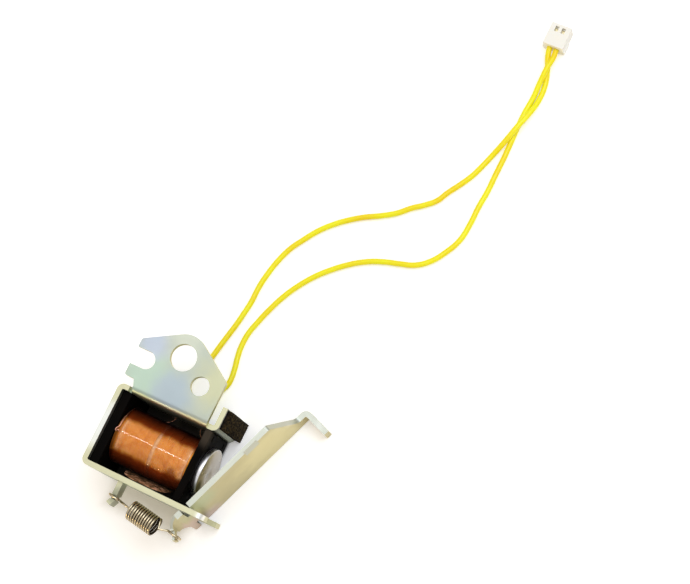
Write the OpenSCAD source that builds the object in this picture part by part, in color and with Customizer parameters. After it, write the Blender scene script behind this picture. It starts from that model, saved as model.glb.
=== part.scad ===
// Clapper solenoid of the kind that trips the paper feed of a printer, lying on its side.
// X runs along the coil towards the pole face, Y from the hinge leg to the mounting plate, Z up.
// Shapes are drawn from the coil's axis at the bobbin's rear face, then moved so that the
// origin is the centre of the plate's large hole on the plate's upper face.

/* [Bobbin and coil] */
// Length of the bobbin along the coil
bobbin_len = 21; // [18:0.5:25]
// Height of the bobbin's flanges, between the yoke's legs
bobbin_h = 15.8; // [15:0.2:18]
// Depth of the bobbin's flanges
bobbin_depth = 12.6; // [12.4:0.1:14]
// Thickness of the flange at the yoke's back wall
rear_flange_t = 2; // [1.2:0.1:2.4]
// Thickness of the flange under the pole head
front_flange_t = 1.6; // [1:0.1:2.2]
// Wall of the bobbin's tube
hub_wall = 0.8; // [0.5:0.1:1.5]
// Depth of the flanges outside the copper winding
winding_margin = 1.9; // [1.7:0.1:2.4]
// Thickness of the clear tape round the winding
tape_t = 0.12; // [0.06:0.02:0.2]

/* [Core] */
// Diameter of the core's shank
core_d = 6; // [4.5:0.1:7]
// Diameter of the pole head
pole_d = 10.8; // [8:0.1:12]
// Thickness of the pole head
pole_t = 1.25; // [0.8:0.05:2]
// Diameter of the core's rivet end in the yoke
rivet_d = 4; // [2.5:0.1:4.4]

/* [Yoke] */
// Thickness of the yoke's sheet steel
sheet_t = 1.1; // [0.9:0.05:1.4]
// Depth of the yoke
yoke_depth = 15; // [14.4:0.2:18]
// Inner radius of every bend
bend_r = 0.3; // [0.2:0.1:0.6]
// Length of the two prongs past the hinge
prong_reach = 4.8; // [4:0.1:7]
// Width of each prong
prong_w = 4.1; // [3:0.1:4.6]
// Radius of the prongs' outer corners
prong_nose_r = 1.4; // [0.8:0.1:2.4]

/* [Mounting plate] */
// Distance of the large hole from the yoke's back wall
hole_x = 8.8; // [8:0.1:10.5]
// Distance of the large hole from the upper leg
hole_y = 10.85; // [10:0.05:13]
// Diameter of the large hole
hole_d = 5.7; // [3:0.1:6.5]
// Width of metal round the large hole
hole_land = 2.05; // [1.2:0.05:2.6]
// Diameter of the small hole
small_hole_d = 4; // [2:0.1:4.6]
// Width of the open slot
slot_w = 3.8; // [2.5:0.1:4.2]
// Height of the plate's straight right edge
plate_edge_h = 9.8; // [8.5:0.1:11.5]

/* [Stop pad] */
// Height of the tab that carries the pad
tab_h = 5.3; // [4.5:0.1:7]
// Thickness of the foam pad
pad_t = 1.25; // [0.8:0.05:1.6]
// Thickness of the pad's adhesive
glue_t = 0.1; // [0.05:0.01:0.2]

/* [Armature] */
// Thickness of the armature
armature_t = 1.2; // [1:0.1:1.5]
// Length of the armature's near edge above the hinge
armature_len = 23.2; // [20:0.2:27]
// Angle at which the armature stands open
open_angle = 20.5; // [16:0.5:21]
// Air gap left at the pole when the armature is upright
pole_gap = 0.25; // [0.15:0.05:0.6]
// Length of the slanted shoulder
shoulder_len = 5; // [3:0.1:7]
// Width of the arm at the armature's end
arm_w = 3.6; // [2.5:0.1:5]
// Length of the arm past the shoulder
arm_len = 3.2; // [2.6:0.1:5]
// Reach of the lip bent out at the arm's end
lip_reach = 5.6; // [3:0.1:8]
// Length of the finger's straight end
finger_len = 2.4; // [2.1:0.1:3.5]
// Width of the finger at its end
finger_w = 3; // [2.8:0.1:4]
// Thickness to which the finger is coined
finger_t = 0.6; // [0.5:0.05:0.8]

/* [Return spring] */
// Outer diameter of the coils
spring_d = 4.3; // [3.4:0.1:4.6]
// Diameter of the spring's wire
spring_wire = 0.5; // [0.3:0.05:0.55]
// Length of the closed coils
spring_len = 6.7; // [6.6:0.1:7.4]
// Distance of the lug from the yoke's back wall
lug_x = 8.25; // [6.5:0.05:9]
// Height of the spring above the coil's axis
spring_z = 4.9; // [4.2:0.1:5.1]

/* [Leads and connector] */
// Outer diameter of the leads
lead_d = 1.2; // [0.9:0.05:1.25]
// Diameter of the leads' conductors
conductor_d = 0.6; // [0.3:0.05:0.65]
// Width of the connector's housing
housing_w = 4.5; // [4.1:0.1:6]
// Height of the connector's housing
housing_h = 3.5; // [3:0.1:4.5]
// Length of the connector's housing
housing_len = 5; // [4.6:0.1:8]

/* [Hidden] */
$fn = 48;

// Clearances
seat_clear = 0.05;
bore_clear = 0.1;
rivet_clear = 0.02;
hinge_clear = 0.15;
wrap_clear = 0.03;
cut_over = 1;

// Coil
hub_d = core_d + 2 * (bore_clear + hub_wall);
winding_d = bobbin_h - 2 * winding_margin;
tape_r = winding_d / 2 + wrap_clear + tape_t;

// Yoke: the legs' faces, the bends and the edges
leg_in = bobbin_h / 2 + seat_clear;
leg_out = leg_in + sheet_t;
bend_out = bend_r + sheet_t;
z_top = yoke_depth / 2;
tab_face = bobbin_len + 0.7;
tab_top = z_top - bend_out;
plate_right = tab_face - sheet_t - 1.2;
plate_left = 1.8;
relief_w = 0.5;
mount_origin = [hole_x, leg_in + hole_y, z_top];

// Tape's loose end: it leaves the winding below and stands up to the lower leg
tape_end = [0.25 - leg_in, 3.5];
tape_end_turn = atan2(tape_end.y, tape_end.x) + acos(tape_r / norm(tape_end)) - 90;
tape_end_len = sqrt(tape_end * tape_end - tape_r * tape_r);
tape_end_x = [rear_flange_t + 4, bobbin_len - front_flange_t - 2.6];

// Hinge: the pivot lies on the armature's inner face, at the middle of the lower leg
pole_face = bobbin_len + pole_t;
hinge = [pole_face + pole_gap, -(leg_in + leg_out) / 2, 0];
fork_end = hinge.x + prong_reach;
neck_w = yoke_depth - 2 * prong_w - 2 * hinge_clear;
fork_root = hinge.x - tan(open_angle) * sheet_t / 2 - hinge_clear;

// Armature, measured along its own plate from the pivot
armature_w = yoke_depth - 0.2;
seat_s = (sheet_t / 2 + hinge_clear + armature_t * sin(open_angle)) / cos(open_angle);
tail_s = -(sheet_t / 2 + hinge_clear) / cos(open_angle);
tail_h = 1.45;
tail_corner_r = tail_h / 2 - 0.05;
tail_end = tail_s - tail_h;
arm_start = armature_len + shoulder_len;
arm_end = arm_start + arm_len - bend_r - armature_t;
arm_top = -armature_w / 2 + arm_w;
finger_angle = 55;
finger_bend_r = 2.3;
finger_bend = [finger_t + finger_bend_r, tail_end];
finger_waist_h = 1.6;
hook_on_finger = 1.2;
nick_from = 16.4;
nick_to = 19.9;

// Spring: hooks round the waists of the lug and the finger, a little off the coils' own axis
hook_r = 1.4;
waist_w = 1.6;
waist_h = 1;
lug_w = 3;
lug_hook_y = -leg_out - 3.4;
lug_bend = [lug_x + sheet_t / 2 - bend_out, -leg_out - bend_r];
spring_turns = 11;
steps_per_turn = 12;
hook_a = [lug_x, lug_hook_y, spring_z];
finger_hook = finger_bend + turned([-finger_bend_r - finger_t / 2, -hook_on_finger], finger_angle);
hook_b = hinge + to_3d(turned(finger_hook, -open_angle), spring_z);
coil_ends = [hook_a - [0, 0.1, 0], hook_b + [0.3, -0.9, 0]];
spring_axis = unit(coil_ends[1] - coil_ends[0]);
spring_side = [-spring_axis.y, spring_axis.x, 0];
spring_mid = (coil_ends[0] + coil_ends[1]) / 2 - 0.2 * spring_axis;
coil_r = (spring_d - spring_wire) / 2;

// Leads: two notches let the winding's ends out of the yoke to the splices under the plate
tail_wire = 0.2;
lead_xs = [8, 14.3];
splice_y = leg_out + 1.75;
splice_z = lead_d / 2 + 0.05 - yoke_depth / 2;
solder_len = 1.4;
solder_d = 0.9;
strip_len = 1.2;
notch_w = 1.6;
notch_h = 1.6;

// Connector: the middle of its rear face, on the surface that the part lies on
housing_at = [38.3, 93.2, -yoke_depth];
pitch = 1.5;
lead_in = 1.2;
entry_d = lead_d + 0.1;
entry_len = 2.2;
cavity_w = 1.1;
cavity_h = 1.6;
contact_clear = 0.1;
barrel_wall = 0.2;

// Leads: each lies on the surface under the part, from its splice through points in the part's frame
// with their height above the surface, and crosses the other once before the connector
lie_z = lead_d / 2 + 0.05 - yoke_depth;
run_1 = [[-0.8, -7.2, 0], [-1, -6.2, 0], [-1.4, -5, 0], [-1.7, -3.7, 0], [-1.6, -2.2, 0], [-1.1, -0.3, 0],
    [-0.2, 1.8, 0], [0.45, 3.8, 0], [0.9, 6.2, 0], [1.4, 8.8, 0], [2.05, 12, 0], [2.5, 15, 0],
    [2.85, 18, 0], [2.9, 21.5, 0], [3.35, 25, 0], [4.1, 28.3, 0], [5.4, 31.8, 0], [7.1, 34.6, 0],
    [9, 37.4, 0], [11.6, 40.2, 0], [14.3, 42.4, 0], [17, 44.2, 0], [20, 45.8, 0], [23, 47.7, 0],
    [25.4, 49.9, 0], [27.8, 51.7, 0], [29.7, 53.5, 0], [31, 55.9, 0], [32.7, 58.6, 0], [34.2, 61.3, 0],
    [35.3, 64.2, 0], [36.15, 66.8, 0], [37.4, 70, 0.9], [38.75, 74.5, 1.45], [39.65, 78, 0.95], [40.1, 82, 0],
    [39.9, 85.5, 0], [38.8, 89, 0], [37.85, 91.5, 0.75]];
run_2 = [[5.5, -6.5, 0], [5.4, -4.4, 0], [5.45, -2.6, 0], [5.85, -1.2, 0], [6.35, 0.1, 0], [6.4, 1.8, 0],
    [6.1, 3.8, 0], [5.55, 6.2, 0], [5.25, 8.5, 0], [5.35, 11.5, 0], [6.15, 14.7, 0], [7.2, 18, 0],
    [8.8, 21.9, 0], [10.6, 25.1, 0], [13, 28.4, 0], [15.6, 31.1, 0], [18.3, 33.4, 0], [21.5, 35.5, 0],
    [25, 37, 0], [28.5, 38, 0], [31.5, 39, 0], [34.1, 41, 0], [36.2, 44, 0], [37.8, 47.5, 0], [38.3, 51.5, 0],
    [38.35, 55.5, 0], [38.65, 59.5, 0], [38.65, 63.5, 0], [38.7, 67.5, 0], [38.6, 71, 0], [38.5, 74.5, 0],
    [38.5, 78, 0], [38.8, 82, 0.15], [38.85, 85.5, 0.85], [39, 88.5, 1.45], [39.2, 91.5, 1.15]];

// The whole centre line of one lead, from its splice to its place in the connector
function lead_route(side) =
    let (way = housing_at + [(side - 0.5) * pitch, 0, housing_h / 2])
    concat([[lead_xs[side], splice_y, splice_z] - mount_origin],
        [for (p = side == 0 ? run_1 : run_2) [p.x, p.y, lie_z + p.z]],
        [way - [0, 0.2, 0], way + [0, lead_in, 0]]);

// Vectors and paths
function unit(v) = v / norm(v);
function turned(p, a) = [p.x * cos(a) - p.y * sin(a), p.x * sin(a) + p.y * cos(a)];
function to_3d(p, z) = [p.x, p.y, z];
function cross_2d(a, b) = a.x * b.y - a.y * b.x;
function across(n, t) = unit(n - (n * t) * t);

// The point where a line from p touches a circle, on the side given by 1 or -1
function touch_point(p, c, r, side) =
    let (a = atan2(p.y - c.y, p.x - c.x) + side * acos(r / norm(p - c)))
    c + r * [cos(a), sin(a)];

// Direction of a path at point i
function heading(path, i) =
    unit(path[min(i + 1, len(path) - 1)] - path[max(i - 1, 0)]);

// A tube swept along a path, with its cross-section carried along without twist
module tube(path, d, sides) {
    last = len(path) - 1;
    start = heading(path, 0);
    first = across(abs(start.z) < 0.9 ? [0, 0, 1] : [1, 0, 0], start);
    normals = [for (i = 0, n = first; i <= last; i = i + 1, n = across(n, heading(path, min(i, last)))) n];
    points = [for (i = [0:last], k = [0:sides - 1])
        let (a = 360 * (k + 0.5) / sides)
        path[i] + d / 2 * (cos(a) * normals[i] + sin(a) * cross(heading(path, i), normals[i]))];
    walls = [for (i = [0:last - 1], k = [0:sides - 1])
        [i * sides + k, i * sides + (k + 1) % sides, (i + 1) * sides + (k + 1) % sides, (i + 1) * sides + k]];
    start_cap = [for (k = [sides - 1:-1:0]) k];
    end_cap = [for (k = [0:sides - 1]) last * sides + k];
    polyhedron(points, [for (f = concat(walls, [start_cap, end_cap])) [for (k = [len(f) - 1:-1:0]) f[k]]]);
}

// Moves what is drawn round the coil to the part's origin
module place() {
    translate(-mount_origin) children();
}

// Flat outline with rounded corners: each point is x, y and the corner's radius
module rounded_outline(corners) {
    count = len(corners);
    spots = [for (c = corners) [c.x, c.y]];
    back = [for (i = [0:count - 1]) unit(spots[(i + count - 1) % count] - spots[i])];
    ahead = [for (i = [0:count - 1]) unit(spots[(i + 1) % count] - spots[i])];
    half = [for (i = [0:count - 1]) acos(back[i] * ahead[i]) / 2];
    outer = [for (i = [0:count - 1]) cross_2d(ahead[i], back[i]) > 0];
    cut = [for (i = [0:count - 1]) corners[i].z / tan(half[i])];
    centre = [for (i = [0:count - 1])
        spots[i] + corners[i].z / sin(half[i]) * unit(back[i] + ahead[i])];
    difference() {
        union() {
            polygon([for (i = [0:count - 1])
                each corners[i].z > 0
                    ? [spots[i] + cut[i] * back[i], spots[i] + cut[i] * ahead[i]]
                    : [spots[i]]]);
            for (i = [0:count - 1]) {
                if (corners[i].z > 0 && outer[i]) translate(centre[i]) circle(corners[i].z);
            }
        }
        for (i = [0:count - 1]) {
            if (corners[i].z > 0 && !outer[i]) translate(centre[i]) circle(corners[i].z);
        }
    }
}

// A quarter of a flat ring, in the quadrant of +x and +y
module quarter_ring(r) {
    intersection() {
        difference() {
            circle(r + sheet_t);
            circle(r);
        }
        square(r + sheet_t);
    }
}

// The yoke's side view: back wall, both legs, and the tab turned up at the upper leg's end
module yoke_profile() {
    translate([-sheet_t, -leg_in + bend_r]) square([sheet_t, 2 * (leg_in - bend_r)]);
    translate([bend_r, leg_in - bend_r]) rotate(90) quarter_ring(bend_r);
    translate([bend_r, -leg_in + bend_r]) rotate(180) quarter_ring(bend_r);
    translate([bend_r, leg_in]) square([tab_face - bend_out - bend_r, sheet_t]);
    translate([bend_r, -leg_out]) square([fork_end - bend_r, sheet_t]);
    translate([tab_face - bend_out, leg_in + bend_out]) rotate(-90) quarter_ring(bend_r);
    translate([tab_face - sheet_t, leg_in + bend_out]) square([sheet_t, tab_h - bend_out]);
}

// What is cut off a square corner of the lower leg to round it, seen along Y
module leg_corner(r) {
    translate([-r, -leg_out - cut_over, -r]) difference() {
        cube([r + cut_over, sheet_t + 2 * cut_over, r + cut_over]);
        rotate([-90, 0, 0]) cylinder(r = r, h = sheet_t + 2 * cut_over);
    }
}

// The slot between the prongs and their rounded ends
module fork_cut() {
    slot_half = z_top - prong_w;
    translate([fork_root, -leg_out - cut_over, -slot_half])
        cube([fork_end, sheet_t + 2 * cut_over, 2 * slot_half]);
    for (side = [0, 1]) mirror([0, 0, side])
        translate([fork_end, 0, z_top]) leg_corner(prong_nose_r);
}

// The bent channel, with the relief beside the plate's bend, the lead notches and the lug's window
module yoke_channel() {
    difference() {
        linear_extrude(yoke_depth, center = true) yoke_profile();
        translate([plate_left - relief_w, 0, tab_top]) cube([2 * bobbin_len, 2 * leg_out, z_top]);
        fork_cut();
        for (x = lead_xs)
            translate([x - notch_w / 2, leg_in - cut_over, -z_top - cut_over])
                cube([notch_w, sheet_t + 2 * cut_over, notch_h + cut_over]);
        translate([lug_bend.x, -leg_out - cut_over, spring_z - lug_w / 2 - 0.3])
            cube([6, sheet_t + 2 * cut_over, lug_w + 0.6]);
    }
}

// The bend from the upper leg's near edge out into the mounting plate
module plate_bend() {
    translate([plate_left, leg_in + bend_out, tab_top]) rotate([90, 0, 90])
        linear_extrude(plate_right - plate_left) rotate(90) quarter_ring(bend_r);
}

// The mounting plate: a rounded end round the large hole, a small hole and an open slot
module mounting_plate() {
    hole = [hole_x, leg_in + hole_y];
    small_hole = hole + [5.85, -3.9];
    slot_end = hole + [-6.95, -3.6];
    round_r = hole_d / 2 + hole_land;
    corner = [plate_right, leg_in + plate_edge_h];
    jaw = [-1.05, leg_in + hole_y + 0.15];
    base = leg_in + bend_out;
    jaw_low = base + 1.4;
    right_touch = touch_point(corner, hole, round_r, 1);
    left_touch = touch_point(jaw, hole, round_r, -1);
    translate([0, 0, z_top - sheet_t]) linear_extrude(sheet_t) difference() {
        union() {
            rounded_outline([[plate_left, base, 0], [plate_right, base, 0], [corner.x, corner.y, 0.8],
                [right_touch.x, right_touch.y, 0], [left_touch.x, left_touch.y, 0], [jaw.x, jaw.y, 0.6],
                [jaw.x, jaw_low, 0.5], [plate_left - 0.6, jaw_low, 0]]);
            translate(hole) circle(round_r);
        }
        translate(hole) circle(d = hole_d);
        translate(small_hole) circle(d = small_hole_d);
        translate(slot_end) circle(d = slot_w);
        translate(slot_end - [hole_x, slot_w / 2]) square([hole_x, slot_w]);
    }
}

// The lug lanced out of the lower leg: a bend, a waist for the spring's hook and a tip bent back
module spring_lug() {
    tip_len = 1.2;
    tip_y = lug_hook_y - waist_h / 2 - 0.25;
    translate([0, 0, spring_z - lug_w / 2]) difference() {
        linear_extrude(lug_w) {
            translate(lug_bend) quarter_ring(bend_r);
            translate([lug_x - sheet_t / 2, tip_y]) square([sheet_t, lug_bend.y - tip_y]);
            translate([lug_x + sheet_t / 2, tip_y]) rotate(-25) translate([-sheet_t, -tip_len])
                square([sheet_t, tip_len + 0.3]);
        }
        for (low = [-cut_over, (lug_w + waist_w) / 2])
            translate([lug_x - sheet_t, lug_hook_y - waist_h / 2, low])
                cube([2 * sheet_t, waist_h, (lug_w - waist_w) / 2 + cut_over]);
    }
}

module yoke_frame() {
    color("silver") place() difference() {
        union() {
            yoke_channel();
            plate_bend();
            mounting_plate();
            spring_lug();
        }
        translate([-sheet_t - cut_over, 0, 0]) rotate([0, 90, 0])
            cylinder(d = rivet_d + 2 * rivet_clear, h = sheet_t + 2 * cut_over);
    }
}

// Steel core: pole head, shank, and an end riveted over behind the yoke
module core() {
    rivet_head_t = 0.4;
    color("gainsboro") place() rotate([0, 90, 0]) {
        cylinder(d = core_d, h = bobbin_len);
        translate([0, 0, bobbin_len]) cylinder(d = pole_d, h = pole_t);
        translate([0, 0, -sheet_t]) cylinder(d = rivet_d, h = sheet_t);
        translate([0, 0, -sheet_t]) rotate([180, 0, 0])
            cylinder(d1 = rivet_d + 0.8, d2 = rivet_d, h = rivet_head_t);
    }
}

// One flange, with its outer edges chamfered to clear the yoke's bends
module flange(t) {
    edge = bend_r + 0.1;
    linear_extrude(bobbin_depth, center = true)
        polygon([[0, edge - bobbin_h / 2], [edge, -bobbin_h / 2], [t, -bobbin_h / 2],
            [t, bobbin_h / 2], [edge, bobbin_h / 2], [0, bobbin_h / 2 - edge]]);
}

// Moulded bobbin: a tube with two flanges, and two wire slits near the front flange's top edge
module bobbin() {
    slit = [0.5, 1.1];
    slit_y = bobbin_h / 2 - 1.4;
    slit_z = 4.2;
    color([0.09, 0.085, 0.085]) place() difference() {
        union() {
            flange(rear_flange_t);
            translate([bobbin_len, 0, 0]) mirror([1, 0, 0]) flange(front_flange_t);
            rotate([0, 90, 0]) cylinder(d = hub_d, h = bobbin_len);
        }
        translate([-cut_over, 0, 0]) rotate([0, 90, 0])
            cylinder(d = core_d + 2 * bore_clear, h = bobbin_len + 2 * cut_over);
        for (z = [-slit_z, slit_z])
            translate([bobbin_len - front_flange_t - cut_over, slit_y - slit.y / 2, z - slit.x / 2])
                cube([front_flange_t + 2 * cut_over, slit.y, slit.x]);
    }
}

// A sleeve round the coil's axis
module sleeve(from, to, r_in, r_out) {
    translate([from, 0, 0]) rotate([0, 90, 0]) difference() {
        cylinder(r = r_out, h = to - from);
        translate([0, 0, -cut_over]) cylinder(r = r_in, h = to - from + 2 * cut_over);
    }
}

module coil_winding() {
    color("peru") place() sleeve(rear_flange_t + seat_clear, bobbin_len - front_flange_t - seat_clear,
        hub_d / 2 + wrap_clear, winding_d / 2);
}

// Clear tape round the winding, with its loose end
module coil_tape() {
    bare_end = 1;
    thin = tape_t / 6;
    color([0.9, 0.6, 0.4]) place() {
        sleeve(rear_flange_t + bare_end, bobbin_len - front_flange_t - 0.2,
            winding_d / 2 + wrap_clear, tape_r);
        rotate([tape_end_turn, 0, 0]) translate([0, 0, tape_r - tape_t + thin])
            linear_extrude(tape_t - 2 * thin)
                rounded_outline([[tape_end_x[0], -0.3, 0], [tape_end_x[1], -0.3, 0],
                    [tape_end_x[1], tape_end_len, 3.4], [tape_end_x[0], tape_end_len, 3.4]]);
    }
}

// Magnet wire that runs down round the winding's end from an angle, then out through a notch
module magnet_tail(x, wound_r, from, splice) {
    r = wound_r + wrap_clear + tail_wire / 2;
    foot = -50;
    arc = [for (i = [0:12])
        let (a = from + (foot - from) * i / 12)
        [x, r * cos(a), r * sin(a)]];
    inside = [splice, leg_in - 0.6, splice_z];
    end = [splice, splice_y - solder_len - wrap_clear - tail_wire / 2, splice_z];
    color("lightpink") place() tube(concat(arc, [(arc[12] + inside) / 2, inside, end]), tail_wire, 6);
}

module start_tail() {
    magnet_tail(rear_flange_t + 0.5, winding_d / 2, 96, lead_xs[0]);
}

module finish_tail() {
    magnet_tail(bobbin_len - front_flange_t - 0.6, tape_r, 20, lead_xs[1]);
}

module solder_joint(x) {
    color("lightgray") place() translate([x, splice_y, splice_z]) rotate([90, 0, 0]) difference() {
        cylinder(d = solder_d, h = solder_len);
        translate([0, 0, -cut_over]) cylinder(d = conductor_d + 2 * rivet_clear, h = strip_len + cut_over);
    }
}

module solder_joint_1() {
    solder_joint(lead_xs[0]);
}

module solder_joint_2() {
    solder_joint(lead_xs[1]);
}

// A slab on the tab's outer face, from one height of the stack to another
module pad_slab(from, to) {
    place() translate([tab_face + from, leg_in + 0.9, -z_top + 0.1])
        cube([to - from, tab_h - 1.1, tab_top + z_top - 0.2]);
}

module pad_adhesive() {
    color("dimgray") pad_slab(0, glue_t);
}

module stop_pad() {
    color([0.12, 0.1, 0.09]) pad_slab(glue_t, glue_t + pad_t);
}

// The armature's flat outline: x runs along the plate from the pivot, y across it
module armature_outline() {
    half = armature_w / 2;
    rounded_outline([[seat_s, -half, 0], [arm_end, -half, 0], [arm_end, arm_top, 0],
        [arm_start, arm_top, 1.2], [armature_len, half, 0.8], [seat_s, half, 0]]);
    translate([tail_s - 0.1, -neck_w / 2]) square([seat_s - tail_s + 0.2, neck_w]);
    rounded_outline([[tail_end, -half, tail_corner_r], [tail_s, -half, 0], [tail_s, half, 0],
        [tail_end, half, 0]]);
}

// A quarter or less of a bend in sheet of thickness t, from the -x side turning towards -y
module armature_bend(r, t, angle) {
    reach = 2 * (r + t);
    intersection() {
        difference() {
            circle(r + t);
            circle(r);
        }
        polygon([[0, 0], [-reach, 0], reach * [-cos(angle / 2), -sin(angle / 2)],
            reach * [-cos(angle), -sin(angle)]]);
    }
}

// The lip at the arm's end, bent outward at right angles
module lip() {
    translate([0, 0, -armature_w / 2]) linear_extrude(arm_w) {
        translate([armature_t + bend_r, arm_end]) mirror([0, 1]) armature_bend(bend_r, armature_t, 90);
        translate([armature_t + bend_r, arm_end + bend_r]) square([lip_reach - bend_r, armature_t]);
    }
}

// The tail curls outward below and narrows to a finger, with a waist for the spring's hook
module finger() {
    half = armature_w / 2;
    low = spring_z - finger_w / 2;
    curl_end = tail_end - (finger_bend_r + finger_t) * sin(finger_angle);
    intersection() {
        translate([finger_bend.x, finger_bend.y, -half]) linear_extrude(armature_w) {
            armature_bend(finger_bend_r, finger_t, finger_angle);
            translate([-finger_bend_r - finger_t, 0]) square([finger_t, 0.3]);
        }
        translate([-cut_over, 0, 0]) rotate([90, 0, 90]) linear_extrude(finger_bend.x + 2 * cut_over)
            polygon([[curl_end, low], [tail_end + 0.3, tail_corner_r - half], [tail_end + 0.3, half],
                [curl_end, low + finger_w]]);
    }
    translate([finger_bend.x, finger_bend.y, low]) rotate(finger_angle) difference() {
        translate([-finger_bend_r - finger_t, -finger_len, 0]) cube([finger_t, finger_len, finger_w]);
        for (side = [-cut_over, (finger_w + waist_w) / 2])
            translate([-finger_bend_r - finger_t - cut_over, -hook_on_finger - finger_waist_h / 2, side])
                cube([finger_t + 2 * cut_over, finger_waist_h, (finger_w - waist_w) / 2 + cut_over]);
    }
}

// What the press coins off the near edge: a short flat between the two faces
module edge_nick() {
    flat = [0.45, 2];
    translate([armature_t, nick_to, armature_w / 2]) rotate([90, 0, 0])
        linear_extrude(nick_to - nick_from)
            polygon([[0.1, 0.1], [-flat.x, 0.1], [-flat.x, 0], [0, -flat.y], [0.1, -flat.y]]);
}

module armature() {
    color([0.8, 0.79, 0.62]) place() translate(hinge) rotate(-open_angle) {
        difference() {
            rotate([90, 0, 90]) linear_extrude(armature_t) armature_outline();
            edge_nick();
        }
        lip();
        finger();
    }
}

// Spring: a loop at each end, straight shanks on the axis, and closed coils between them
module return_spring() {
    function at(along, out, angle) =
        spring_mid + along * spring_axis + out * (cos(angle) * spring_side + sin(angle) * [0, 0, 1]);
    function looped(c, angle) = c + hook_r * (cos(angle) * spring_axis + sin(angle) * [0, 0, 1]);
    half = (spring_len - spring_wire) / 2;
    count = spring_turns * steps_per_turn;
    hook_step = 20;
    path = concat(
        [for (a = [40:hook_step:340]) looped(hook_a, a)],
        [hook_a + (hook_r + 0.3) * spring_axis, at(-half - 0.7, 0, 0), at(-half - 0.3, coil_r / 2, 0)],
        [for (i = [0:count]) at(-half + 2 * half * i / count, coil_r, 360 * i / steps_per_turn)],
        [at(half + 0.3, coil_r / 2, 0), at(half + 0.7, 0, 0), hook_b - (hook_r + 0.3) * spring_axis],
        [for (a = [200:hook_step:500]) looped(hook_b, a)]);
    color("dimgray") place() tube(path, spring_wire, 6);
}

module lead_wire_1() {
    color("gold") tube(lead_route(0), lead_d, 8);
}

module lead_wire_2() {
    color("gold") tube(lead_route(1), lead_d, 8);
}

// The bared ends of a lead: one in its solder joint, one in its crimp contact
module lead_conductor(side) {
    color("orange") {
        place() translate([lead_xs[side], splice_y, splice_z]) rotate([90, 0, 0])
            cylinder(d = conductor_d, h = strip_len);
        in_housing(side) translate([0, lead_in, 0]) rotate([-90, 0, 0])
            cylinder(d = conductor_d, h = strip_len);
    }
}

module lead_conductor_1() {
    lead_conductor(0);
}

module lead_conductor_2() {
    lead_conductor(1);
}

// Draws on the axis of one of the connector's ways, from the housing's rear face
module in_housing(side) {
    translate(housing_at + [(side - 0.5) * pitch, 0, housing_h / 2]) children();
}

// Two-way socket housing with a window over each contact's lance and a rib on each side
module connector_housing() {
    window = [0.8, 1.2];
    rib = 0.3;
    color("white") difference() {
        translate(housing_at + [-housing_w / 2, 0, 0]) union() {
            cube([housing_w, housing_len, housing_h]);
            for (x = [-rib, housing_w]) translate([x, 0, 0.6]) cube([rib, housing_len - 2.5, 0.8]);
        }
        for (side = [0, 1]) in_housing(side) {
            rotate([-90, 0, 0]) translate([0, 0, -cut_over]) cylinder(d = entry_d, h = entry_len + cut_over);
            translate([-cavity_w / 2, entry_len - 0.1, -cavity_h / 2])
                cube([cavity_w, housing_len, cavity_h]);
            translate([-window.x / 2, entry_len + 1, 0]) cube([window.x, window.y, housing_h]);
        }
    }
}

// Crimped contact: a barrel on the conductor and a box that takes the pin
module crimp_contact(side) {
    barrel_d = conductor_d + 2 * (rivet_clear + barrel_wall);
    box = [cavity_w - 2 * contact_clear, housing_len - entry_len - 0.8, cavity_h - 2 * contact_clear];
    pin_hole = [0.5, 0.9];
    color("khaki") in_housing(side) difference() {
        union() {
            translate([0, lead_in, 0]) rotate([-90, 0, 0]) cylinder(d = barrel_d, h = strip_len + 0.5);
            translate([-box.x / 2, entry_len + contact_clear, -box.z / 2]) cube(box);
        }
        translate([0, lead_in - cut_over, 0]) rotate([-90, 0, 0])
            cylinder(d = conductor_d + 2 * rivet_clear, h = strip_len + cut_over);
        translate([-pin_hole.x / 2, entry_len + 1, -pin_hole.y / 2])
            cube([pin_hole.x, housing_len, pin_hole.y]);
    }
}

module crimp_contact_1() {
    crimp_contact(0);
}

module crimp_contact_2() {
    crimp_contact(1);
}

yoke_frame();
core();
bobbin();
coil_winding();
coil_tape();
start_tail();
finish_tail();
solder_joint_1();
solder_joint_2();
pad_adhesive();
stop_pad();
armature();
return_spring();
lead_wire_1();
lead_wire_2();
lead_conductor_1();
lead_conductor_2();
connector_housing();
crimp_contact_1();
crimp_contact_2();
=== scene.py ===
# Clapper solenoid of the kind that trips a printer's paper feed, lying on its side on white paper.
# Sizes are in millimetres in the part's own frame, with its origin in the plate's large hole.
from math import cos, pi, radians, sin, tau

import bmesh
import bpy
from mathutils import Matrix, Vector, noise


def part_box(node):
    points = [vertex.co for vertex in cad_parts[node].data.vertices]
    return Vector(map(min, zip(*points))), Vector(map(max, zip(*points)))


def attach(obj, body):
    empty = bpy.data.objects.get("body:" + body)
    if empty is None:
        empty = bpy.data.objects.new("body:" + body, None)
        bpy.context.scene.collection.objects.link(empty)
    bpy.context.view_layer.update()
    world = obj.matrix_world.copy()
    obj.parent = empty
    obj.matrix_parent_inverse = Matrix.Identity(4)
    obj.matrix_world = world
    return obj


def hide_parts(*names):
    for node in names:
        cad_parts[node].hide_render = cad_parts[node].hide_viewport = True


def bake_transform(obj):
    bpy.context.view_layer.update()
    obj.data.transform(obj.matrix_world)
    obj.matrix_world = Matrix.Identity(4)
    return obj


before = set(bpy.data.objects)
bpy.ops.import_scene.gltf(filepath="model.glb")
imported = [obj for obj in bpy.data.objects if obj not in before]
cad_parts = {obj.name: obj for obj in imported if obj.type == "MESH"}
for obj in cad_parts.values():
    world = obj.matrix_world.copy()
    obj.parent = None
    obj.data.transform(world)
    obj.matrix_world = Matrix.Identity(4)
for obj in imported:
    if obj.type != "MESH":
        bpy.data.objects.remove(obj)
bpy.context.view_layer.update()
MM = 0.001
scene = bpy.context.scene


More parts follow.
